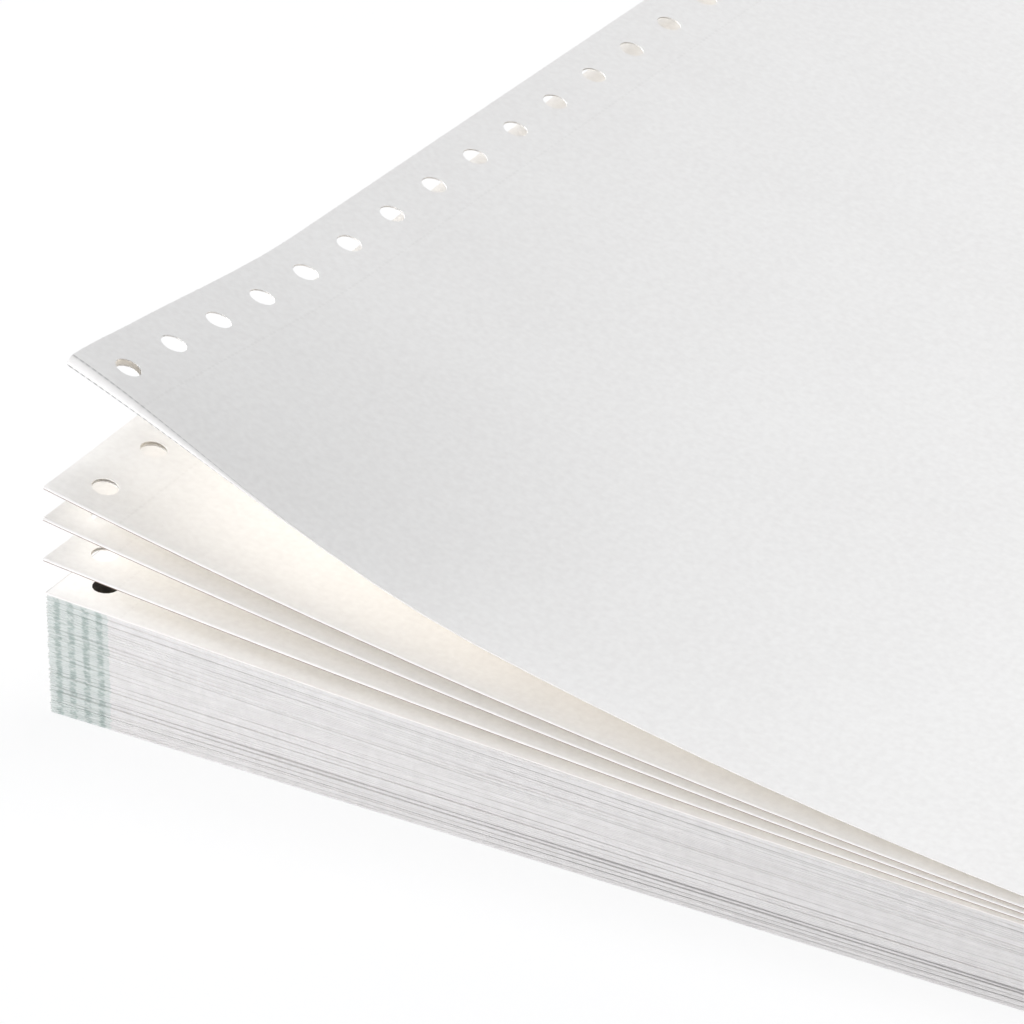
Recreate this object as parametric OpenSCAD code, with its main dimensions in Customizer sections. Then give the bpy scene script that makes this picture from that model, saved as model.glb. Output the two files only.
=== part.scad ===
// Stack of continuous form paper. One long web is folded to and fro: the lower
// folds are pressed into a block, and the upper ones have sprung open on the
// left. x runs along the folds, y from the front folds to the rear creases.
// The middle of the bottom sheet lies on the ground at the origin.

/* [Form] */
// Width of the web, from one side edge to the other
form_w = 241.3; // [200:0.1:400]
// Distance from a front fold to the rear crease
form_l = 279.4; // [200:0.1:360]
// Thickness of one sheet
sheet_t = 0.1; // [0.08:0.01:0.15]

/* [Tractor holes] */
// Diameter of a hole
hole_d = 4; // [3:0.1:4.5]
// Distance from one hole to the next
hole_pitch = 12.7; // [10:0.1:16]
// Distance from the side edge to the hole centres
hole_edge = 6.35; // [5:0.05:8]
// Distance from the fold to the first hole centre
hole_fold = 6.35; // [5:0.05:8]
// Width of the strip that the holes lie in
margin_w = 12.7; // [11:0.1:16]

/* [Pressed block] */
// Folds along the front of the block
block_folds = 60; // [20:1:70]
// Thickness of the block at its left edge
block_left = 20; // [8:0.1:30]
// Thickness of the block at its right edge
block_right = 12.3; // [7:0.1:30]
// How fast the thickness falls away from the left edge
block_curve = 1.7; // [1:0.1:3]
// Depth of the groove between two folds
groove = 0.3; // [0.1:0.05:0.6]

/* [Raised pairs] */
// Space that opens under the lowest raised pair, front left
gap_1 = 5; // [0:0.1:15]
// Space between the lowest raised pair and the second, front left
gap_2 = 6.2; // [0:0.1:15]
// Space between the second raised pair and the third, front left
gap_3 = 4.7; // [0:0.1:15]
// Space under the top pair, front left
top_gap = 15.5; // [0:0.1:30]
// Spaces between the rear creases, from the block up, rear left
rear_gap_1 = 6; // [0:0.1:15]
rear_gap_2 = 6; // [0:0.1:15]
rear_gap_3 = 5.5; // [0:0.1:15]
// Height of the top sheet's free rear edge over the crease below it
rear_free = 0.4; // [0:0.1:5]
// How fast the raised pairs come down towards the right
open_curve = 2.4; // [1.6:0.1:3]
// How fast the top pair comes down on the pair below it
top_curve = 2.4; // [1.6:0.1:4]
// Extra height of the top pair's curled front corner
curl_h = 5.5; // [0:0.1:15]
// Reach of the curl along the front
curl_w = 71; // [40:1:150]
// Reach of the curl along the side
curl_l = 65; // [40:1:150]
// How far the raised pairs draw in at their left edge, as a share of the least bend
draw = 0.6; // [0.4:0.1:1.2]
// The same for the top pair
top_draw = 1; // [0.4:0.1:1.2]

/* [Folds] */
// Clear distance between the two sheets' middles in a closed fold
fold_gap = 0.3; // [0.25:0.05:0.6]
// The same for the top pair's open front fold, at the left edge
top_fold = 1.8; // [0.4:0.1:3]
// Distance behind that fold at which its two sheets have come together
fold_reach = 14; // [8:1:30]
// Depth of a fold's rounded end
fold_depth = 1; // [0.6:0.1:2]
// Rise from one pair to the next where the stack is closed
pair_rise = 0.5; // [0.45:0.05:1]

/* [Hidden] */
$fn = 24;
LOOP = 4;         // straight runs round a fold
SPANS = 8;        // straight runs from front to rear
BAYS = 6;         // runs across, between the two hole strips
PAIRS = 4;
SHEETS = 2 * PAIRS;
hole_room = 3;    // most that a drilled hole passes its sheet, both sides together
holes = floor((form_l - 2 * hole_fold) / hole_pitch + 0.001) + 1;
front_y = sheet_t / 2 + fold_depth;
rear_y = form_l - sheet_t / 2 - fold_depth;
inner_w = form_w - 2 * margin_w;
front_open = [gap_1, gap_1 + gap_2, gap_1 + gap_2 + gap_3, gap_1 + gap_2 + gap_3];
rear_open = [0, rear_gap_1, rear_gap_1 + rear_gap_2, rear_gap_1 + rear_gap_2 + rear_gap_3];
stations_u = concat(
    [0],
    [for (i = [0:BAYS]) margin_w + inner_w * pow(i / BAYS, 1.2)],
    [form_w]
);
stations_t = [for (i = [0:SPANS]) pow(i / SPANS, 2)];

// Share of the left edge's opening that is left at u
function spread(u, curve) = pow(max(0, 1 - u / form_w), curve);

// Falls smoothly from 1 to 0 as q goes from 0 to 1
function fade(q) = q >= 1 ? 0 : 1 - q * q * (3 - 2 * q);

function block_top(u) =
    block_right + (block_left - block_right) * spread(u, block_curve);

// Heights over the block's top: the middle of front fold k and of rear crease k
function front_mid(k, u) =
    pair_rise * (k + 0.7) + front_open[k] * spread(u, open_curve)
    + (k == PAIRS - 1 ? top_gap * spread(u, top_curve) : 0);
function rear_mid(k, u) =
    k == 0 ? (fold_gap - sheet_t) / 2
    : pair_rise * (k + 0.2) + rear_open[k] * spread(u, open_curve);
function curl(k, u, y) =
    k == PAIRS - 1 ? curl_h * fade(u / curl_w) * fade(y / curl_l) : 0;
// Space between the two sheets of pair k, before the pair opens to the rear
function sheet_gap(k, u, y) =
    fold_gap
    + (k == PAIRS - 1 ? (top_fold - fold_gap) * spread(u, open_curve) * fade(y / fold_reach) : 0);

// Sheet n counts down from the top; an even one is the upper half of its pair
function pair_of(n) = PAIRS - 1 - floor(n / 2);
function front_lift(n, u, y) =
    let (k = pair_of(n))
    front_mid(k, u) + (n % 2 == 0 ? 1 : -1) * sheet_gap(k, u, y) / 2;
function rear_lift(n, u) =
    n == 0 ? rear_mid(PAIRS - 1, u) + fold_gap / 2 + pair_rise / 2 + rear_free * spread(u, open_curve)
    : n % 2 == 1 ? rear_mid(pair_of(n), u) + fold_gap / 2
    : rear_mid(pair_of(n) + 1, u) - fold_gap / 2;
function lift(n, u, y) =
    let (t = (y - front_y) / (rear_y - front_y))
    front_lift(n, u, y) * (1 - t) + rear_lift(n, u) * t + curl(pair_of(n), u, y);

// A sheet keeps its width, so its left side draws in as it rises
function drawn_in(k, u, h) =
    let (rise = max(0, h - PAIRS * pair_rise))
    (k == PAIRS - 1 ? top_draw : draw) * rise * rise / form_w / max(0.02, 1 - u / form_w);

// Middle line of the loose sheets at u, as [y, height over the block]
function run(n, u) = [
    for (i = [0:SPANS])
        let (
            t = n % 2 == 0 ? stations_t[SPANS - i] : stations_t[i],
            y = front_y + (rear_y - front_y) * t
        )
        [y, lift(n, u, y)]
];
function bend(n, u) =
    let (
        k = pair_of(n),
        front = n % 2 == 0,
        mid = front ? front_mid(k, u) + curl(k, u, front_y) : rear_mid(k, u),
        half = (front ? sheet_gap(k, u, front_y) : fold_gap) / 2
    )
    [
        for (i = [1:LOOP - 1])
            let (a = 90 - 180 * i / LOOP)
            [
                front ? front_y - fold_depth * cos(a) : rear_y + fold_depth * cos(a),
                mid + half * sin(a)
            ]
    ];
function middle_line(u) = [
    for (n = [0:SHEETS - 1])
        each concat(run(n, u), bend(n, u))
];

// Points beside the line, at a distance to the right of the way along it
function unit(v) = v / norm(v);
function beside(line, i, dist) =
    let (
        last = len(line) - 1,
        back = i == 0 ? line[0] - line[1] : line[i - 1] - line[i],
        ahead = i == last ? line[last] - line[last - 1] : line[i + 1] - line[i],
        way = unit(unit(ahead) - unit(back))
    )
    line[i] + dist * [way[1], -way[0]];

function loose_point(i, u, p) =
    let (k = pair_of(floor(i / (SPANS + LOOP))))
    [u + drawn_in(k, u, p[1]), p[0], block_top(u) + p[1]];
function block_front(u) =
    let (pitch = block_top(u) / block_folds)
    [
        for (i = [0:2 * block_folds])
            [u, i % 2 == 0 ? groove : 0, block_top(u) - i * pitch / 2]
    ];
function block_rear(u) =
    let (pitch = block_top(u) / block_folds)
    [
        for (i = [0:2 * block_folds - 1])
            [u, i % 2 == 0 ? form_l : form_l - groove, i * pitch / 2]
    ];

// Outline of the whole section at u: over the loose sheets, down the block's
// front, back along the ground, up its rear and in under the loose sheets
function outline(u) =
    let (
        line = middle_line(u),
        last = len(line) - 1
    )
    concat(
        [for (i = [0:last]) loose_point(i, u, beside(line, i, sheet_t / 2))],
        [[u, rear_y, block_top(u)]],
        block_front(u),
        block_rear(u),
        [for (i = [last:-1:0]) loose_point(i, u, beside(line, i, -sheet_t / 2))]
    );

// The folded web, lofted through the sections
module folded_web() {
    rings = [for (u = stations_u) outline(u)];
    size = len(rings[0]);
    line_n = len(middle_line(0));
    front_0 = line_n + 1;
    rear_0 = front_0 + 2 * block_folds + 1;
    faces_side = [
        for (j = [0:len(rings) - 2], i = [0:size - 1])
            let (
                i2 = (i + 1) % size,
                a = j * size + i,
                b = j * size + i2,
                c = b + size,
                d = a + size,
                towards_front = rings[0][i2][1] < rings[0][i][1]
            )
            each (towards_front ? [[a, d, c], [a, c, b]] : [[a, d, b], [b, d, c]])
    ];
    // An end is a strip of four-sided faces between facing points
    pairs_loose = [for (i = [0:line_n - 1]) [i, size - 1 - i]];
    pairs_block = [
        for (m = [2 * block_folds - 1:-1:0])
            [front_0 + 2 * block_folds - m, rear_0 + m]
    ];
    strip_loose = concat(pairs_loose, [[line_n, rear_0 + 2 * block_folds - 1]]);
    strip_block = concat([[front_0, line_n]], pairs_block);
    end_faces = [
        for (strip = [strip_loose, strip_block], i = [0:len(strip) - 2])
            let (
                p = strip[i],
                q = strip[i + 1]
            )
            each [[p[0], q[0], q[1]], [p[0], q[1], p[1]]]
    ];
    far = (len(rings) - 1) * size;
    polyhedron(
        points = [for (ring = rings) each ring],
        faces = concat(
            faces_side,
            end_faces,
            [for (f = end_faces) [f[2] + far, f[1] + far, f[0] + far]]
        ),
        convexity = 20
    );
}

// Left holes through loose sheets first to last, square to them, as they slope there
module sheet_holes(first, last) {
    u = hole_edge;
    step = 1;
    k = pair_of(first);
    for (i = [0:holes - 1]) {
        y = hole_fold + i * hole_pitch;
        top = lift(first, u, y);
        bottom = lift(last, u, y);
        above = first == 0 ? hole_room : lift(first - 1, u, y) - top;
        below = bottom - (last == SHEETS - 1 ? -sheet_t / 2 : lift(last + 1, u, y));
        reach = min(hole_room, above, below) / 2;
        ends = [
            for (v = [u - step, u + step])
                let (h = (lift(first, v, y) + lift(last, v, y)) / 2)
                [v + drawn_in(k, v, h), block_top(v) + h]
        ];
        slope_x = (ends[1][1] - ends[0][1]) / (ends[1][0] - ends[0][0]);
        slope_y = (lift(last, u, y + step) - lift(last, u, y - step)) / (2 * step);
        normal = unit([-slope_x, -slope_y, 1]);
        mid = (top + bottom) / 2;
        translate([u + drawn_in(k, u, mid), y, block_top(u) + mid])
            rotate([0, acos(normal[2]), atan2(normal[1], normal[0])])
                cylinder(d = hole_d, h = top - bottom + 2 * reach, center = true);
    }
}

// Left holes of the block, which end just over its sloping top
module block_holes() {
    fall = block_top(0) - block_top(margin_w);
    intersection() {
        for (i = [0:holes - 1])
            translate([hole_edge, hole_fold + i * hole_pitch, -1])
                cylinder(d = hole_d, h = block_left + 2);
        translate([hole_edge, form_l / 2, block_top(hole_edge) + fold_gap / 3])
            rotate([0, atan(fall / margin_w), 0])
                translate([0, 0, -block_left])
                    cube([2 * margin_w, form_l, 2 * block_left], center = true);
    }
}

// Right holes, where all the sheets lie close together
module right_holes() {
    for (i = [0:holes - 1])
        translate([form_w - hole_edge, hole_fold + i * hole_pitch, -1])
            cylinder(d = hole_d, h = block_left + SHEETS * pair_rise + 2);
}

module paper_stack() {
    color("#ECEDEE")
        translate([-form_w / 2, -form_l / 2, 0])
            difference() {
                folded_web();
                sheet_holes(0, 1);
                for (n = [2:SHEETS - 1]) sheet_holes(n, n);
                block_holes();
                right_holes();
            }
}

paper_stack();
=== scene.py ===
import math
import random

import bmesh
import bpy
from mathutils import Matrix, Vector


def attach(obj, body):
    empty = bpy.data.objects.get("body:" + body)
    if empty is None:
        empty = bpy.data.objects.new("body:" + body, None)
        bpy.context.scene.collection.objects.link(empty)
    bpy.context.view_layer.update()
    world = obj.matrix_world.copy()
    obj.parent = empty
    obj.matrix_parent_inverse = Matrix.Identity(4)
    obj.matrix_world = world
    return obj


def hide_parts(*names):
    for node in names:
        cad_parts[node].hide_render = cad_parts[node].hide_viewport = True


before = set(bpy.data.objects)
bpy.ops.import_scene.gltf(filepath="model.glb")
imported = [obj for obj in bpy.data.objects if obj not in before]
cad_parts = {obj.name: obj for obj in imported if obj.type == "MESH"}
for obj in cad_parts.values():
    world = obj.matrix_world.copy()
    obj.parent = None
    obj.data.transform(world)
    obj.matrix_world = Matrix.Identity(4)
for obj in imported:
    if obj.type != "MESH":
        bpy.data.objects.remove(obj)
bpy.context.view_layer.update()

MM = 0.001

# Points closer than this are one point, and a face whose normal has more than this
# share of its length in z lies level
TOUCH = 0.01 * MM
LEVEL = 0.7

# The form, as the part's source has it
FORM_W = 241.3 * MM
FORM_L = 279.4 * MM
SHEET_T = 0.1 * MM
HOLE_R = 2.0 * MM
HOLE_PITCH = 12.7 * MM
HOLE_EDGE = 6.35 * MM
MARGIN_W = 12.7 * MM
HOLES = 22

# The pressed block
LEAVES = 60
BLOCK_LEFT = 20.0 * MM
BLOCK_RIGHT = 12.3 * MM
BLOCK_CURVE = 1.7
GROOVE = 0.3 * MM
# How far the edge of a leaf stands back where it is rounded, and where two are cut
ROUND_BACK = 0.04 * MM
CUT_BACK = 0.15 * MM
# Most that one leaf stands back from another, in millimetres
FRONT_STAGGER, REAR_STAGGER, EDGE_STAGGER = 0.14, 0.3, 0.22
# Size and length of the slow wave along a fold, in millimetres
WAVE_SIZE = (0.02, 0.07)
WAVE_LENGTH = (30, 80)
# Gaps between leaves are fully open this far from the left corner
NEAR_W = 110.0 * MM

# The raised pairs, from the lowest to the top one
PAIRS = 4
SHEETS = 2 * PAIRS
TOP_PAIR = PAIRS - 1
PAIR_RISE = 0.5 * MM
FRONT_OPEN = (5.0 * MM, 11.2 * MM, 15.9 * MM, 15.9 * MM)
REAR_OPEN = (0.0, 6.0 * MM, 12.0 * MM, 17.5 * MM)
TOP_GAP = 15.5 * MM
# The top pair's sheets lie closer here than in the part's source, where a pair that is
# drilled needs more room, so that its holes can be seen through
TOP_CLOSED = 0.14 * MM
OPEN_CURVE = 2.4
TOP_CURVE = 2.4
CURL_H = 5.5 * MM
CURL_W = 71.0 * MM
CURL_L = 65.0 * MM
DRAW = 0.6
TOP_DRAW = 1.0
FOLD_GAP = 0.3 * MM
# A front fold stands a little open, and the sheets meet a short way behind it
FRONT_FOLD = 0.55 * MM
FRONT_REACH = 6.0 * MM
TOP_FOLD = 1.8 * MM
TOP_FOLD_W = 42.0 * MM
FOLD_REACH = 18.0 * MM
FOLD_DEPTH = 1.0 * MM

# Printing on the fold edges, from the left corner, and the side perforations
TINT_W = 10.8 * MM
TINT_SHIFT = 0.4 * MM
MARK_COLUMNS = (2.0 * MM, 4.4 * MM, 6.9 * MM, 9.3 * MM)
MARK_W = 0.35 * MM
CUT_W = 0.25 * MM
CUT_PITCH = 1.1 * MM
CUT_SHARE = 0.62

# Real sizes of the patterns in the paper and on its edges. FIBRE is drawn ten times as
# coarse as it is.
CLUMP = 1.0 * MM
CLOUD = 35.0 * MM
FIBRE = 0.35 * MM
STREAK = 14.0 * MM
ROUGH_SPOT = 1.8 * MM
BLOT = 1.2 * MM
TORN = 0.6 * MM
SHEET_RELIEF = 0.04 * MM
EDGE_RELIEF = 0.1 * MM

# Where the folds lie in the flat map: each takes one unit, well clear of the sheets
FOLD_ROW, TOP_FOLD_ROW, REAR_ROW = 10.0, 20.0, 30.0

# Mesh density
CELL_CUTS = 3
HOLE_POINTS = 16
MIDDLE_COLUMNS = 24
COLUMN_CROWD = 1.2
LOOP_ROWS = 8
LEAF_STEPS = 4


# ---- shape of the folded web, the same formulas as in the part's source ----

def spread(u, curve):
    """Share of the left edge's opening that is left at u."""
    return max(0.0, 1 - u / FORM_W) ** curve


def fade(q):
    """Falls softly from 1 at 0 to 0 at 1."""
    return 0.0 if q >= 1 else 1 - q * q * (3 - 2 * q)


def block_top(u):
    """Height of the pressed block."""
    return BLOCK_RIGHT + (BLOCK_LEFT - BLOCK_RIGHT) * spread(u, BLOCK_CURVE)


def front_mid(k, u):
    """Height of pair k's front fold over the block, half way up the fold."""
    top = TOP_GAP * spread(u, TOP_CURVE) if k == TOP_PAIR else 0.0
    return PAIR_RISE * (k + 0.7) + FRONT_OPEN[k] * spread(u, OPEN_CURVE) + top


def rear_mid(k, u):
    """Height of the rear crease under pair k, half way up the crease."""
    if k == 0:
        return (FOLD_GAP - SHEET_T) / 2
    return PAIR_RISE * (k + 0.2) + REAR_OPEN[k] * spread(u, OPEN_CURVE)


def curl(k, u, y):
    """The top pair's left front corner curls up."""
    return CURL_H * fade(u / CURL_W) * fade(y / CURL_L) if k == TOP_PAIR else 0.0


def sheet_gap(k, u, y):
    """Space between the two sheets of pair k, before the pair opens to the rear."""
    if k != TOP_PAIR:
        fuller = (FRONT_FOLD - FOLD_GAP) * spread(u, 1.0)
        return FOLD_GAP + fuller * fade(y / FRONT_REACH)
    open_fold = (TOP_FOLD - TOP_CLOSED) * fade(u / TOP_FOLD_W)
    return TOP_CLOSED + open_fold * fade(y / FOLD_REACH)


def front_end(k, u):
    """Depth of a front fold's rounded end: no more than its own opening needs."""
    closed = FOLD_GAP / 2
    if k != TOP_PAIR:
        return sheet_gap(k, u, 0) / 2
    return closed + (FOLD_DEPTH - closed) * fade(u / TOP_FOLD_W)


def pair_of(n):
    """The pair that sheet n belongs to."""
    return PAIRS - 1 - n // 2


def front_lift(n, u, y):
    """Height of sheet n over the block as its front fold sets it."""
    k = pair_of(n)
    side = 1 if n % 2 == 0 else -1
    return front_mid(k, u) + side * sheet_gap(k, u, y) / 2


def rear_lift(n, u):
    """Height of sheet n over the block at its rear crease."""
    if n == 0:
        return rear_mid(TOP_PAIR, u) + FOLD_GAP / 2 + TOP_CLOSED
    if n % 2 == 1:
        return rear_mid(pair_of(n), u) + FOLD_GAP / 2
    return rear_mid(pair_of(n) + 1, u) - FOLD_GAP / 2


def lift(n, u, y):
    """Height of sheet n over the block's top; n counts down from the top sheet."""
    front_y = SHEET_T / 2 + FOLD_DEPTH
    t = (y - front_y) / (FORM_L - 2 * front_y)
    return front_lift(n, u, y) * (1 - t) + rear_lift(n, u) * t + curl(pair_of(n), u, y)


def drawn_in(k, u, h):
    """A sheet keeps its width, so its left side draws in as it rises."""
    rise = max(0.0, h - PAIRS * PAIR_RISE)
    share = TOP_DRAW if k == TOP_PAIR else DRAW
    return share * rise * rise / FORM_W / max(0.02, 1 - u / FORM_W)


def web_point(k, u, y, h):
    """Place of a point of pair k that is at height h over the block's top."""
    return Vector((u + drawn_in(k, u, h) - FORM_W / 2, y - FORM_L / 2, block_top(u) + h))


# ---- small helpers for work in edit mode ----

def nothing_selected():
    bpy.ops.object.select_all(action="DESELECT")


def only(obj):
    nothing_selected()
    obj.select_set(True)
    bpy.context.view_layer.objects.active = obj
    return obj


def start_edit(obj):
    only(obj)
    bpy.ops.object.mode_set(mode="EDIT")


def end_edit():
    bpy.ops.object.mode_set(mode="OBJECT")


def settle(obj):
    """Puts the object's place and size into its mesh."""
    only(obj)
    bpy.ops.object.transform_apply(location=True, rotation=True, scale=True)
    return obj


def apply_modifier(obj, kind, **settings):
    only(obj)
    bpy.ops.object.modifier_add(type=kind)
    modifier = obj.modifiers[-1]
    for name, value in settings.items():
        setattr(modifier, name, value)
    bpy.ops.object.modifier_apply(modifier=modifier.name)
    return obj


def named(obj, name):
    obj.name = name
    obj.data.name = name
    return obj


def copy_of(obj, name):
    only(obj)
    bpy.ops.object.duplicate()
    return named(bpy.context.object, name)


def joined(objs, name):
    nothing_selected()
    for obj in objs:
        obj.select_set(True)
    bpy.context.view_layer.objects.active = objs[0]
    bpy.ops.object.join()
    return named(bpy.context.object, name)


def weld(obj, distance=TOUCH):
    """Merges points that touch, and points the faces outwards."""
    start_edit(obj)
    bpy.ops.mesh.select_all(action="SELECT")
    bpy.ops.mesh.remove_doubles(threshold=distance)
    bpy.ops.mesh.normals_make_consistent(inside=False)
    end_edit()
    return obj


def select_in_edit(obj, kind, wanted):
    """Selects the vertices, edges or faces of the mesh in edit mode that are wanted."""
    bpy.ops.mesh.select_all(action="DESELECT")
    bpy.ops.mesh.select_mode(type=kind)
    mesh = bmesh.from_edit_mesh(obj.data)
    parts = {"VERT": mesh.verts, "EDGE": mesh.edges, "FACE": mesh.faces}[kind]
    for part in parts:
        part.select_set(wanted(part))
    mesh.select_flush_mode()
    bmesh.update_edit_mesh(obj.data)


def flat_coordinates(obj, along=lambda p, normal: (p.x, p.y)):
    """Keeps each point's place on the flat web as the piece's own UV map."""
    mesh = obj.data
    while mesh.uv_layers:
        mesh.uv_layers.remove(mesh.uv_layers[0])
    layer = mesh.uv_layers.new(name="flat_web")
    for face in mesh.polygons:
        for i in face.loop_indices:
            point = mesh.vertices[mesh.loops[i].vertex_index].co
            layer.data[i].uv = along(point, face.normal)


def move_points(obj, place):
    for vertex in obj.data.vertices:
        vertex.co = place(vertex.co)
    obj.data.update()


# ---- the flat form: hole strips and the plain sheet between them ----

def punched_cell():
    """One square of the hole strip, with a round hole in its middle."""
    nothing_selected()
    centre = (HOLE_EDGE, HOLE_PITCH / 2, 0)
    bpy.ops.mesh.primitive_plane_add(size=HOLE_PITCH, location=centre)
    cell = settle(bpy.context.object)
    start_edit(cell)
    bpy.ops.mesh.delete(type="ONLY_FACE")
    bpy.ops.mesh.select_all(action="SELECT")
    bpy.ops.mesh.subdivide(number_cuts=CELL_CUTS)
    bpy.ops.mesh.primitive_circle_add(vertices=HOLE_POINTS, radius=HOLE_R, location=centre)
    bpy.ops.mesh.select_all(action="SELECT")
    bpy.ops.mesh.bridge_edge_loops()
    end_edit()
    return cell


def flat_form():
    """One form laid flat: two rows of holes and the sheet between them."""
    left = apply_modifier(
        punched_cell(), "ARRAY", count=HOLES,
        use_relative_offset=False, use_constant_offset=True,
        constant_offset_displace=(0, HOLE_PITCH, 0),
        use_merge_vertices=True, merge_threshold=TOUCH,
    )
    right = copy_of(left, "right_strip")
    bpy.ops.transform.translate(value=(FORM_W - MARGIN_W, 0, 0))
    settle(right)
    nothing_selected()
    bpy.ops.mesh.primitive_grid_add(
        x_subdivisions=MIDDLE_COLUMNS, y_subdivisions=HOLES * (CELL_CUTS + 1),
        size=1, location=(0.5, 0.5, 0),
    )
    middle = settle(bpy.context.object)
    inner = FORM_W - 2 * MARGIN_W
    move_points(middle, lambda p: Vector(
        (MARGIN_W + inner * max(0.0, p.x) ** COLUMN_CROWD, FORM_L * p.y, 0)))
    form = weld(joined([left, right, middle], "form"), 2 * TOUCH)
    flat_coordinates(form)
    return form


# ---- the loose sheets: one web of eight forms with a fold at each end ----

def sheet_span(n, u):
    """Where sheet n starts at its front fold and ends at its rear crease."""
    front = SHEET_T / 2 + front_end(pair_of(n), u)
    return front, FORM_L - SHEET_T / 2 - FOLD_GAP / 2


def laid_sheet(form, n):
    """Sheet n of the loose web, which counts down from the top one."""
    sheet = copy_of(form, f"sheet_{n}")

    def place(p):
        front, rear = sheet_span(n, p.x)
        y = min(max(p.y, front), rear)
        return web_point(pair_of(n), p.x, y, lift(n, p.x, y))

    move_points(sheet, place)
    return sheet


def fold_strip(columns, n):
    """The rounded fold after sheet n: at the front after an even one, else at the rear."""
    nothing_selected()
    last = len(columns) - 1
    bpy.ops.mesh.primitive_grid_add(
        x_subdivisions=last, y_subdivisions=LOOP_ROWS, size=1, location=(0.5, 0.5, 0))
    strip = settle(bpy.context.object)
    at_front = n % 2 == 0
    move_points(strip, lambda p: Vector((columns[round(p.x * last)], p.y, 0)))
    row = REAR_ROW if not at_front else TOP_FOLD_ROW if n == 0 else FOLD_ROW
    flat_coordinates(strip, lambda p, normal: (p.x, row + p.y))

    def place(p):
        k = pair_of(n)
        angle = math.pi * (0.5 - p.y)
        front, rear = sheet_span(n, p.x)
        if at_front:
            upper = lift(n, p.x, front)
            lower = lift(n + 1, p.x, front)
            y = front - front_end(k, p.x) * math.cos(angle)
        else:
            upper = lift(n, p.x, rear)
            lower = -SHEET_T / 2 if n + 1 == SHEETS else lift(n + 1, p.x, rear)
            y = rear + FOLD_GAP / 2 * math.cos(angle)
        h = (upper + lower) / 2 + (upper - lower) / 2 * math.sin(angle)
        above = web_point(k, p.x, y, h)
        below = web_point(pair_of(n + 1), p.x, y, h)
        return above.lerp(below, p.y)

    move_points(strip, place)
    return strip


def loose_web(form):
    """Eight forms, each laid on its own place, with a rounded fold after each one."""
    columns = sorted({round(v.co.x, 6) for v in form.data.vertices if v.co.y < TOUCH})
    parts = [laid_sheet(form, n) for n in range(SHEETS)]
    parts += [fold_strip(columns, n) for n in range(SHEETS)]
    web = weld(joined(parts, "loose_web"))
    apply_modifier(web, "SOLIDIFY", thickness=SHEET_T, offset=0.0, use_even_offset=True)
    return web


# ---- the pressed block: sixty folded leaves on one another ----

chance = random.Random(4)

# Leaves, counted from the ground, that have an open gap under them, and how open it is
OPEN_LEAVES = {3: 0.7, 6: 0.8, 8: 0.5, 11: 0.7, 13: 0.8, 14: 0.5, 19: 0.4, 54: 0.5}


def leaf_levels():
    """Share of the block's height at which each leaf starts, and how wide the gap under
    it is. Leaves lie in packets, and low down a few gaps stand open."""
    widths = []
    gaps = []
    run = 0
    for i in range(LEAVES):
        run += 1
        if i in OPEN_LEAVES:
            gap, run = OPEN_LEAVES[i], 0
        elif run >= chance.choice((4, 5, 6, 7)):
            gap, run = chance.uniform(0.3, 0.6), 0
        else:
            gap = chance.uniform(0.0, 0.15)
        gaps.append(gap)
        widths.append(1 + 0.5 * gap + chance.uniform(-0.1, 0.1))
    total = sum(widths)
    levels = [0.0]
    for w in widths:
        levels.append(levels[-1] + w / total)
    return levels, gaps


LEVELS, GAPS = leaf_levels()
# How far each leaf's front fold, rear crease and side edges stand back, and a slow
# wave along the fold that differs from leaf to leaf
FRONT_BACK = [chance.uniform(0.0, FRONT_STAGGER) * MM for _ in range(LEAVES + 1)]
REAR_BACK = [chance.uniform(0.0, REAR_STAGGER) * MM for _ in range(LEAVES + 1)]
EDGE_BACK = [chance.uniform(0.0, EDGE_STAGGER) * MM for _ in range(2 * LEAVES + 2)]
WAVE = [
    (chance.uniform(*WAVE_SIZE) * MM, chance.uniform(*WAVE_LENGTH) * MM, chance.uniform(0, 6.3))
    for _ in range(LEAVES + 1)]


def on_outline(p):
    """Whether a point of the flat form is on one of its four edges."""
    return min(p.x, p.y) < TOUCH or p.x > FORM_W - TOUCH or p.y > FORM_L - TOUCH


def leaf_wall(form):
    """The outline of the form, raised in four steps to one leaf and then stacked."""
    wall = copy_of(form, "leaf_wall")
    start_edit(wall)
    bpy.ops.mesh.select_all(action="SELECT")
    bpy.ops.mesh.delete(type="ONLY_FACE")
    select_in_edit(wall, "VERT", lambda v: not on_outline(v.co))
    bpy.ops.mesh.delete(type="VERT")
    bpy.ops.mesh.select_all(action="SELECT")
    for _ in range(LEAF_STEPS):
        bpy.ops.mesh.extrude_edges_move(
            TRANSFORM_OT_translate={"value": (0, 0, 1 / LEAF_STEPS)})
    end_edit()
    return apply_modifier(
        wall, "ARRAY", count=LEAVES,
        use_relative_offset=False, use_constant_offset=True,
        constant_offset_displace=(0, 0, 1),
        use_merge_vertices=True, merge_threshold=TOUCH,
    )


def gap_under(i, u):
    """How open the gap under leaf i is; it opens towards the right."""
    return GAPS[min(i, LEAVES - 1)] * (0.25 + 0.75 * min(1.0, u / NEAR_W))


def fold_back(step, u):
    """How far a front fold stands back at a quarter step of its leaf."""
    i, quarter = divmod(step, LEAF_STEPS)
    i = min(i, LEAVES)
    size, length, start = WAVE[i]
    ridge = FRONT_BACK[i] + size * (1 + math.sin(u / length * 2 * math.pi + start))
    if quarter == 0:
        # Where the block is thinner, its grooves are shallower too
        depth = GROOVE * (block_top(u) / BLOCK_LEFT) ** 2
        return ridge + depth * (0.4 + 2.6 * gap_under(i, u))
    return ridge + (0.0 if quarter == 2 else ROUND_BACK)


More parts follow.
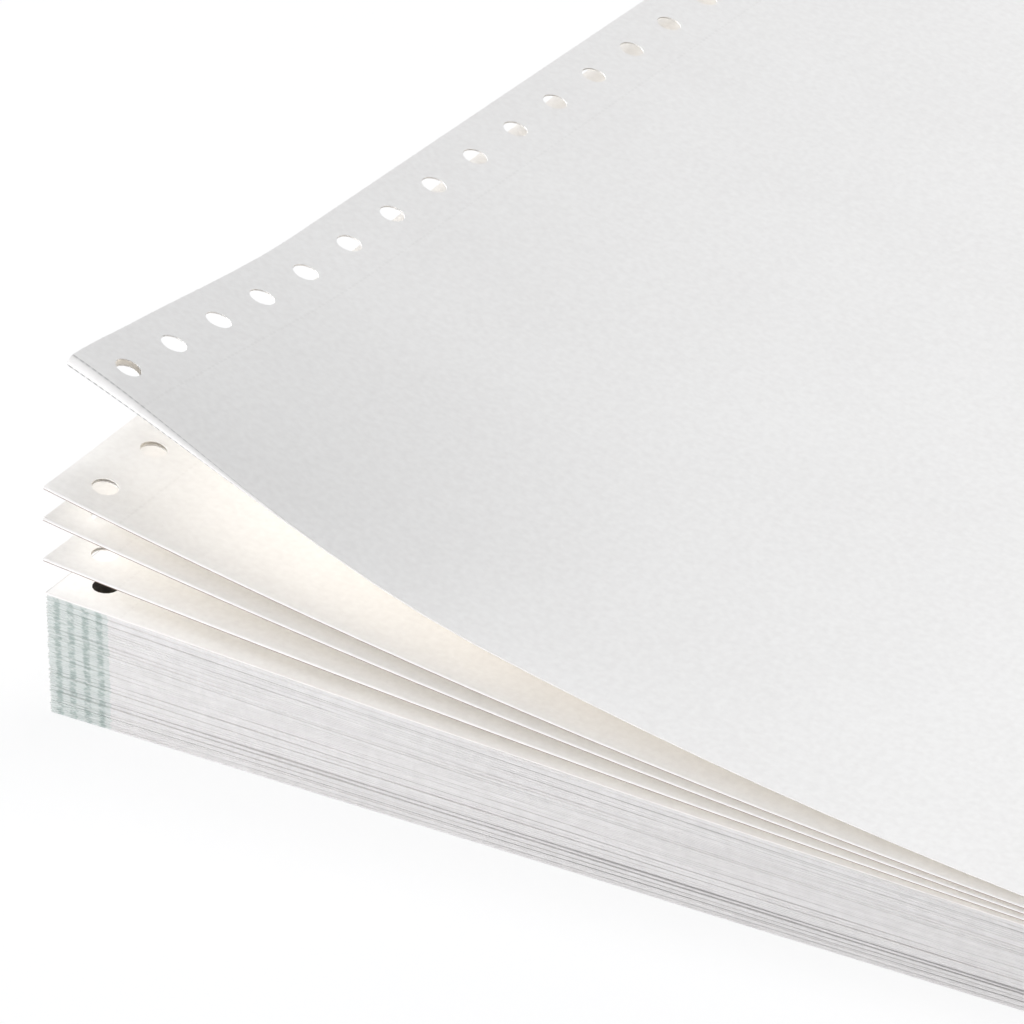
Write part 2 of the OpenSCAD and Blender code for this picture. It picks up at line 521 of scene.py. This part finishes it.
def crease_back(step):
    """The same for a rear crease, which lies half a leaf lower than the folds."""
    i, quarter = divmod(step + LEAF_STEPS // 2, LEAF_STEPS)
    i = min(i, LEAVES)
    return REAR_BACK[i] + (GROOVE if quarter == 0 else 0.0 if quarter == 2 else ROUND_BACK)


def edge_back(step):
    """The same for the cut side edges, where each of a leaf's two sheets has its own."""
    i, half = divmod(step, LEAF_STEPS // 2)
    i = min(i, 2 * LEAVES + 1)
    return EDGE_BACK[i] + (CUT_BACK if half == 0 else 0.0)


def block_height(u, s):
    """Height above the ground at s leaves."""
    i = min(int(s), LEAVES - 1)
    low, high = LEVELS[i], LEVELS[i + 1]
    return block_top(u) * (low + (high - low) * (s - i))


def block_point(p):
    """Place of a point of the wall: p.z counts leaves from the ground."""
    u, v, s = p
    step = round(s * LEAF_STEPS)
    x, y = u, v
    if v < TOUCH:
        y += fold_back(step, u)
    elif v > FORM_L - TOUCH:
        y -= crease_back(step)
    if u < TOUCH:
        x += edge_back(step)
    elif u > FORM_W - TOUCH:
        x -= edge_back(step)
    return Vector((x - FORM_W / 2, y - FORM_L / 2, block_height(u, s)))


def gap_shade(block):
    """Keeps, for each point of the wall, how deep in a gap between leaves it lies; the walls'
    materials paint shade there by it.
    """
    shade = block.data.attributes.new("gap", "FLOAT", "POINT")
    for i, vertex in enumerate(block.data.vertices):
        step = round(vertex.co.z * LEAF_STEPS)
        leaf = (step + 1) // LEAF_STEPS
        if not on_outline(vertex.co) or not 0 < leaf < LEAVES:
            continue
        gap = gap_under(leaf, vertex.co.x)
        if step % LEAF_STEPS == 0:
            shade.data[i].value = 0.05 + 0.95 * gap
        elif step % LEAF_STEPS != 2:
            shade.data[i].value = max(0.0, gap - 0.4)


def face_kinds(block):
    """Plain paper on top and below, fold edges in front, cut edges at the sides and
    creases behind, and bores inside."""
    for face in block.data.polygons:
        if abs(face.normal.z) > LEVEL:
            continue
        if not on_outline(face.center):
            face.material_index = 3
        else:
            face.material_index = 1 if face.center.y < TOUCH else 2


def pressed_block(form):
    """Top, bottom and bores from the form, with the stacked leaves' edges round them."""
    wall = leaf_wall(form)
    caps = copy_of(form, "caps")
    start_edit(caps)
    bpy.ops.mesh.select_all(action="SELECT")
    bpy.ops.mesh.extrude_region_move(TRANSFORM_OT_translate={"value": (0, 0, LEAVES)})
    bpy.ops.mesh.normals_make_consistent(inside=False)
    select_in_edit(caps, "FACE", lambda face: (
        abs(face.normal.z) < LEVEL and on_outline(face.calc_center_median())))
    bpy.ops.mesh.delete(type="FACE")
    end_edit()
    block = joined([caps, wall], "pressed_block")
    weld(block)
    face_kinds(block)
    gap_shade(block)
    # On the walls the map runs round the outline and counts leaves upwards
    flat_coordinates(block, lambda p, normal: (
        (p.x, p.y) if abs(normal.z) > LEVEL else (p.x + p.y, p.z)))
    move_points(block, block_point)
    start_edit(block)
    bpy.ops.mesh.select_all(action="SELECT")
    bpy.ops.mesh.normals_make_consistent(inside=False)
    end_edit()
    return block


# ---- materials ----

def linear(hex_colour):
    """A colour written as sRGB hex, as the linear values a shader takes."""
    parts = [int(hex_colour[i:i + 2], 16) / 255 for i in (1, 3, 5)]
    return tuple(
        c / 12.92 if c <= 0.04045 else ((c + 0.055) / 1.055) ** 2.4 for c in parts) + (1.0,)


def add_node(tree, kind, inputs=(), out=0, **settings):
    """Adds a node with its settings, sets or links its inputs, which are given in order
    or by name, and gives back the output that is wanted."""
    made = tree.nodes.new("ShaderNode" + kind)
    for name, value in settings.items():
        setattr(made, name, value)
    given = inputs.items() if isinstance(inputs, dict) else enumerate(inputs)
    for name, value in given:
        if isinstance(value, bpy.types.NodeSocket):
            tree.links.new(value, made.inputs[name])
        else:
            made.inputs[name].default_value = value
    return made.outputs[out] if made.outputs else None


def new_material(name):
    material = bpy.data.materials.new(name)
    material.use_nodes = True
    material.node_tree.nodes.clear()
    return material, material.node_tree


def paper_surface(tree, colour, height, distance):
    """The matt paper shader that every part of the stack ends in."""
    relief = add_node(tree, "Bump", {
        "Height": height, "Strength": 0.25, "Distance": distance})
    shader = add_node(tree, "BsdfPrincipled", {
        "Base Color": colour, "Normal": relief, "Roughness": 0.9, "Specular IOR Level": 0.3})
    add_node(tree, "OutputMaterial", {"Surface": shader})


def laid_over(tree, tone, layers):
    """A tone with other colours over it, each where its own share says."""
    for share, colour in layers:
        over = colour if isinstance(colour, bpy.types.NodeSocket) else linear(colour)
        tone = add_node(
            tree, "Mix", {"Factor": share, 6: tone, 7: over}, out=2, data_type="RGBA")
    return tone


def near_line(tree, value, line, half_width, softness):
    """1 within half_width of a line, falling to 0 over the softness."""
    offset = add_node(tree, "Math", (value, line), operation="SUBTRACT")
    away = add_node(tree, "Math", (offset,), operation="ABSOLUTE")
    past = add_node(tree, "Math", (away, half_width), operation="SUBTRACT")
    return add_node(
        tree, "Math", (past, -1 / softness, 1.0), operation="MULTIPLY_ADD", use_clamp=True)


def repeated(tree, value, pitch):
    """How far a value is from one repeat of a pattern to the next, from 0 to 1."""
    count = add_node(tree, "Math", (value, pitch), operation="DIVIDE")
    return add_node(tree, "Math", (count,), operation="FRACT")


def web_map(tree):
    """The piece's own flat coordinates: across the web, and along it or up the block."""
    flat = add_node(tree, "UVMap", uv_map="flat_web")
    return [add_node(tree, "SeparateXYZ", (flat,), out=axis) for axis in ("X", "Y")]


def wall_spots(tree, place, stack, width, rows, detail):
    """Cloudy spots on a wall, some width long and 1 / rows leaves high."""
    spot = add_node(tree, "CombineXYZ", (
        add_node(tree, "Math", (place, width), operation="DIVIDE"),
        add_node(tree, "Math", (stack, rows), operation="MULTIPLY")))
    return add_node(tree, "TexNoise", {"Vector": spot, "Scale": 1.0, "Detail": detail})


def wall_streaks(tree, place, stack):
    """Streaks that run along the leaves, some darker, over blots about 2 mm wide where
    the leaves' edges are rougher."""
    streaks = wall_spots(tree, place, stack, STREAK, 1.3, 3.0)
    blots = wall_spots(tree, place, stack, ROUGH_SPOT, 0.12, 3.0)
    half = add_node(tree, "Math", (blots, 0.5), operation="MULTIPLY")
    return add_node(tree, "Math", (streaks, 0.5, half), operation="MULTIPLY_ADD")


def painted_gap_shade(tree, tone, strongest):
    """Paints shade into a wall's tone in the gaps between its leaves, where little light
    reaches.
    """
    gap = add_node(tree, "Attribute", out="Fac", attribute_name="gap")
    share = add_node(tree, "Math", (gap, strongest), operation="MULTIPLY")
    return laid_over(tree, tone, [(share, "#8B8988")])


def perforation(tree, across, along):
    """Where the web is perforated: rows of short cuts beside both hole strips."""
    left = near_line(tree, across, MARGIN_W, CUT_W / 2, CUT_W / 2)
    right = near_line(tree, across, FORM_W - MARGIN_W, CUT_W / 2, CUT_W / 2)
    row = add_node(tree, "Math", (left, right), operation="MAXIMUM")
    step = repeated(tree, along, CUT_PITCH)
    cut = add_node(tree, "Math", (step, CUT_SHARE), operation="LESS_THAN")
    return add_node(tree, "Math", (row, cut), operation="MULTIPLY")


def formation(tree, place):
    """Cloudy formation: clumps of fibre, and wide soft clouds."""
    clumps = add_node(tree, "TexNoise", {"Vector": place, "Scale": 1 / CLUMP, "Detail": 3.0})
    clouds = add_node(tree, "TexNoise", {"Vector": place, "Scale": 1 / CLOUD, "Detail": 2.0})
    soft = add_node(tree, "Math", (clouds, 0.3), operation="MULTIPLY")
    both = add_node(tree, "Math", (clumps, 0.7, soft), operation="MULTIPLY_ADD")
    return add_node(
        tree, "Math", (both, 1.6, -0.3), operation="MULTIPLY_ADD", use_clamp=True)


def top_fold_dots(tree, across, along):
    """Two rows of torn perforation dots. They bound the top fold, which hasn't been
    pressed flat, and fade to the right, where it is pressed sharper."""
    upper = near_line(tree, along, TOP_FOLD_ROW + 0.04, 0.03, 0.04)
    lower = near_line(tree, along, TOP_FOLD_ROW + 0.68, 0.06, 0.06)
    beads = near_line(tree, repeated(tree, across, CUT_PITCH), 0.5, 0.2, 0.2)
    rows = add_node(tree, "Math", (upper, 0.5, lower), operation="MULTIPLY_ADD")
    strength = add_node(tree, "Math", (beads, 0.45, 0.5), operation="MULTIPLY_ADD")
    torn = add_node(tree, "Math", (rows, strength), operation="MULTIPLY")
    near_corner = add_node(
        tree, "Math", (across, -1 / NEAR_W, 1.0), operation="MULTIPLY_ADD", use_clamp=True)
    return add_node(tree, "Math", (torn, near_corner), operation="MULTIPLY")


def printing_paper():
    """Uncoated wood-free printing paper, 75 g for each square metre, made on a wire and
    lightly calendered: matt, almost white, a little cloudy where the fibres lie uneven."""
    material, tree = new_material("printing_paper_uncoated")
    place = add_node(tree, "TexCoord", out="Object")
    across, along = web_map(tree)
    cuts = perforation(tree, across, along)
    faint_cuts = add_node(tree, "Math", (cuts, 0.07), operation="MULTIPLY")
    # Painted shade: the fold strips are a little greyer than the flat sheet, to tone down the
    # light on their rounded faces
    folded = add_node(tree, "Math", (along, FOLD_ROW - 1), operation="GREATER_THAN")
    greyer = add_node(tree, "Math", (folded, 0.4), operation="MULTIPLY")
    # Under each sharp front fold the light can't reach the crease: a thin brown line
    under = near_line(tree, along, FOLD_ROW + 0.82, 0.22, 0.1)
    brown = add_node(tree, "Math", (under, 0.9), operation="MULTIPLY")
    tone = laid_over(tree, linear("#F2EFEB"), [
        (formation(tree, place), "#FFFDF9"),
        (faint_cuts, "#B9B5AE"),
        (greyer, "#EAE6E2"),
        (brown, "#7E5E4C"),
        (top_fold_dots(tree, across, along), "#8F8D8C"),
    ])
    # Fibre relief: real fibres are 0.03 mm wide, drawn coarser here so that they show
    fibres = add_node(tree, "TexNoise", {"Vector": place, "Scale": 1 / FIBRE, "Detail": 3.0})
    height = add_node(tree, "Math", (cuts, -0.8, fibres), operation="MULTIPLY_ADD")
    paper_surface(tree, tone, height, SHEET_RELIEF)
    return material


def printed_marks(tree, shifted, stack, blots):
    """Four columns of small marks. Each mark is on one fold only, so a column is a row of
    small dashes, and some are fainter than others."""
    marks = 0.0
    for column in MARK_COLUMNS:
        mark = near_line(tree, shifted, column, MARK_W, MARK_W)
        marks = add_node(tree, "Math", (mark, marks), operation="MAXIMUM")
    fold = add_node(tree, "Math", (stack,), operation="FRACT")
    dash = near_line(tree, fold, 0.5, 0.2, 0.25)
    strength = add_node(tree, "Math", (dash, 0.5, 0.25), operation="MULTIPLY_ADD")
    worn = add_node(
        tree, "Math", (blots, -3.5, 2.5), operation="MULTIPLY_ADD", use_clamp=True)
    inked = add_node(tree, "Math", (strength, worn), operation="MULTIPLY")
    return add_node(tree, "Math", (marks, inked), operation="MULTIPLY")


def fold_edges():
    """Front of the block: sixty sharp folds on one another. A fold edge shows broken
    fibres and shade between the leaves, so it looks greyer than the flat sheet. The
    left end carries the printer's tint, with four columns of small marks in it."""
    material, tree = new_material("stacked_fold_edges")
    across, stack = web_map(tree)
    streaks = wall_streaks(tree, across, stack)
    # No two forms are folded at quite the same place, so the printing ends unevenly
    leaf = add_node(tree, "Math", (stack,), operation="FLOOR")
    shift = add_node(tree, "TexWhiteNoise", {"W": leaf}, out="Value", noise_dimensions="1D")
    shifted = add_node(
        tree, "Math", (shift, TINT_SHIFT, across), operation="MULTIPLY_ADD")
    tint = add_node(tree, "Math", (shifted, TINT_W), operation="LESS_THAN")
    blots = wall_spots(tree, across, stack, BLOT, 0.7, 2.0)
    green = laid_over(tree, linear("#C6CBC7"), [
        (blots, "#DEE0DC"),
        (printed_marks(tree, shifted, stack, blots), "#92A29B"),
    ])
    tone = laid_over(tree, linear("#D0CDCA"), [
        (streaks, "#EFECEA"),
        (tint, green),
        # The topmost fold is the one that the light reaches from above
        (near_line(tree, stack, LEAVES, 0.5, 1.0), "#F8F4F0"),
    ])
    # Painted shade in the gaps between the leaves
    paper_surface(tree, painted_gap_shade(tree, tone, 0.65), streaks, EDGE_RELIEF)
    return material


def cut_edges():
    """Sides and rear of the block: the trimmed edges of the hole strips, and creases.
    Two sheets to a leaf, so a fine line runs at every half leaf."""
    material, tree = new_material("stacked_cut_edges")
    place, stack = web_map(tree)
    streaks = wall_streaks(tree, place, stack)
    sheet = near_line(tree, repeated(tree, stack, 0.5), 0.5, 0.1, 0.2)
    fine = add_node(tree, "Math", (sheet, -0.22, 0.22), operation="MULTIPLY_ADD")
    tone = laid_over(tree, linear("#D4D0CB"), [(streaks, "#EAE6E1"), (fine, "#A9A6A1")])
    # Painted shade in the gaps between the leaves
    paper_surface(tree, painted_gap_shade(tree, tone, 0.5), streaks, EDGE_RELIEF)
    return material


def bore_walls_painted_dark():
    """Punched walls inside the block's holes: rough torn fibres, painted dark as shade, since
    little light reaches into the bores.
    """
    material, tree = new_material("punched_bore_edges")
    place = add_node(tree, "TexCoord", out="Object")
    rough = add_node(tree, "TexNoise", {"Vector": place, "Scale": 1 / TORN, "Detail": 3.0})
    # The dark tone is painted shade inside the bores
    tone = laid_over(tree, linear("#4A4642"), [(rough, "#6B6660")])
    paper_surface(tree, tone, rough, EDGE_RELIEF)
    return material


def floor_paint():
    """Matt white studio sweep. The camera sees it a little lighter than it lights."""
    material, tree = new_material("studio_sweep_matt")
    seen = add_node(tree, "LightPath", out="Is Camera Ray")
    share = add_node(tree, "Math", (seen, 0.85), operation="MULTIPLY")
    lit = add_node(tree, "BsdfDiffuse", {"Color": linear("#F2F2F2")})
    white = add_node(tree, "Emission", {"Color": linear("#FFFFFF"), "Strength": 1.0})
    mixed = add_node(tree, "MixShader", (share, lit, white))
    add_node(tree, "OutputMaterial", {"Surface": mixed})
    return material


def dress(piece, *materials):
    """Gives a piece its materials and says what it stands for."""
    kinds = [face.material_index for face in piece.data.polygons]
    piece.data.materials.clear()
    for material in materials:
        piece.data.materials.append(material)
    piece.data.polygons.foreach_set("material_index", kinds)
    only(piece)
    bpy.ops.object.shade_smooth_by_angle(angle=math.radians(40))
    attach(piece, "root")
    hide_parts("paper_stack")


form = flat_form()
web = loose_web(form)
block = pressed_block(form)
bpy.data.objects.remove(form)
paper = printing_paper()
dress(web, paper)
dress(block, paper, fold_edges(), cut_edges(), bore_walls_painted_dark())


# ---- floor, light and camera ----

LAMP_AIM = Vector((0, 0, 0.03))
# A little blue, since the paper is a little warm and flat sheets look neutral
DAYLIGHT = "#F9FBFF"
SKY_STRENGTH = 0.195
CAMERA_PLACE = (0.31915, -0.7716, 0.4622)
CAMERA_AZIMUTH = 29.84
CAMERA_ELEVATION = 29.22
CAMERA_LENS = 216.95


def floor():
    """A plain pale floor, a hair under the stack."""
    nothing_selected()
    bpy.ops.mesh.primitive_plane_add(size=6.0, location=(0, 0, -0.02 * MM))
    made = settle(bpy.context.object)
    made.name = "floor"
    made.data.materials.append(floor_paint())


def lamp(name, place, size, watts):
    """A square soft lamp that is aimed at the stack, its size in metres."""
    light = bpy.data.lights.new(name, "AREA")
    light.shape = "SQUARE"
    light.size = size
    light.energy = watts
    light.color = linear(DAYLIGHT)[:3]
    made = bpy.data.objects.new(name, light)
    made.location = place
    made.rotation_euler = (LAMP_AIM - Vector(place)).to_track_quat("-Z", "Y").to_euler()
    bpy.context.scene.collection.objects.link(made)


def studio():
    """Soft light mostly from the left, as in the photo, with a weak fill from behind."""
    floor()
    world = bpy.data.worlds.new("studio")
    bpy.context.scene.world = world
    world.use_nodes = True
    tree = world.node_tree
    tree.nodes.clear()
    sky = add_node(tree, "Background", {"Color": linear(DAYLIGHT), "Strength": SKY_STRENGTH})
    add_node(tree, "OutputWorld", {"Surface": sky})
    lamp("window_left", (-1.436, -0.523, 0.745), 0.7, 18.0)
    lamp("window_near", (-0.946, -1.351, 0.411), 0.7, 14.2)
    lamp("window_side", (-1.550, 0.564, 0.411), 0.7, 6.1)
    lamp("fill_far", (1.2, 1.1, 0.25), 0.7, 2.2)
    lamp("ceiling", (0.25, 0.45, 1.65), 0.9, 15.9)


def camera():
    """The photo's view, as it was fitted to the holes of the top sheet."""
    azimuth, elevation = math.radians(CAMERA_AZIMUTH), math.radians(CAMERA_ELEVATION)
    made = bpy.data.objects.new("camera", bpy.data.cameras.new("camera"))
    made.data.sensor_width = 36.0
    made.data.lens = CAMERA_LENS
    made.location = CAMERA_PLACE
    made.rotation_euler = (math.pi / 2 - elevation, 0, azimuth)
    made.data.clip_start = 0.05
    bpy.context.scene.collection.objects.link(made)
    bpy.context.scene.camera = made


studio()
camera()
bpy.context.scene.view_settings.view_transform = "Standard"
# White paper lights white paper: the narrow spaces between the sheets need many bounces
bpy.context.scene.cycles.diffuse_bounces = 12
bpy.context.scene.cycles.max_bounces = 16
